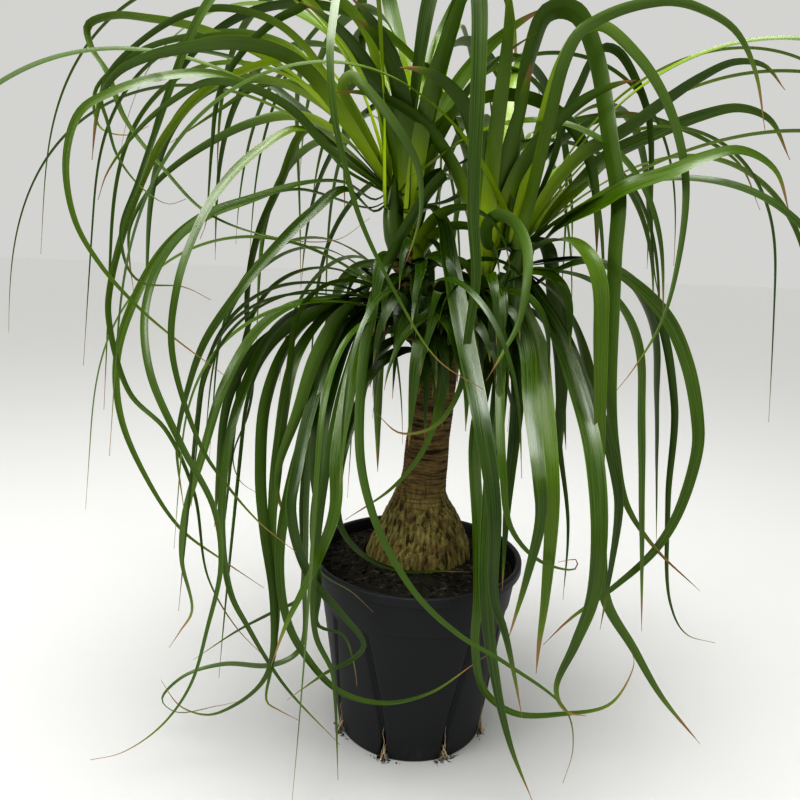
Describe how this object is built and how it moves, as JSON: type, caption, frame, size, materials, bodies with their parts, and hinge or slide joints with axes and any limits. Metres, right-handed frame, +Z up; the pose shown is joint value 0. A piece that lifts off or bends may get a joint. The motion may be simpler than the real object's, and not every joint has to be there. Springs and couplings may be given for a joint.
{
  "type": "potted ponytail palm",
  "caption": "Ponytail palm with a swollen, forked trunk and three heads of long arching strap leaves, in a black fluted nursery pot filled with soil.",
  "frame": {"origin": "centre of the pot's underside, on the surface that it stands on", "axes": "+Z up along the pot's axis, -Y the front that faces the viewer, +X to the viewer's right"},
  "size_m": [0.9762, 0.6688, 0.8165],
  "materials": {
    "pot": "charcoal black moulded plastic, satin on the collar",
    "soil": "dark damp potting soil with brown fibres",
    "bark": "corky furrowed bark below, fine ring scars above",
    "leaf": "waxy green strap leaves with fine lengthwise veins and dry tips",
    "root": "pale dry roots"
  },
  "bodies": {
    "root": {"pot": "pot", "soil": "soil", "trunk": "bark", "head_left": "leaf", "head_right": "leaf", "head_low": "leaf", "root_1": "root", "root_2": "root", "root_3": "root", "root_4": "root"}
  },
  "joints": []
}
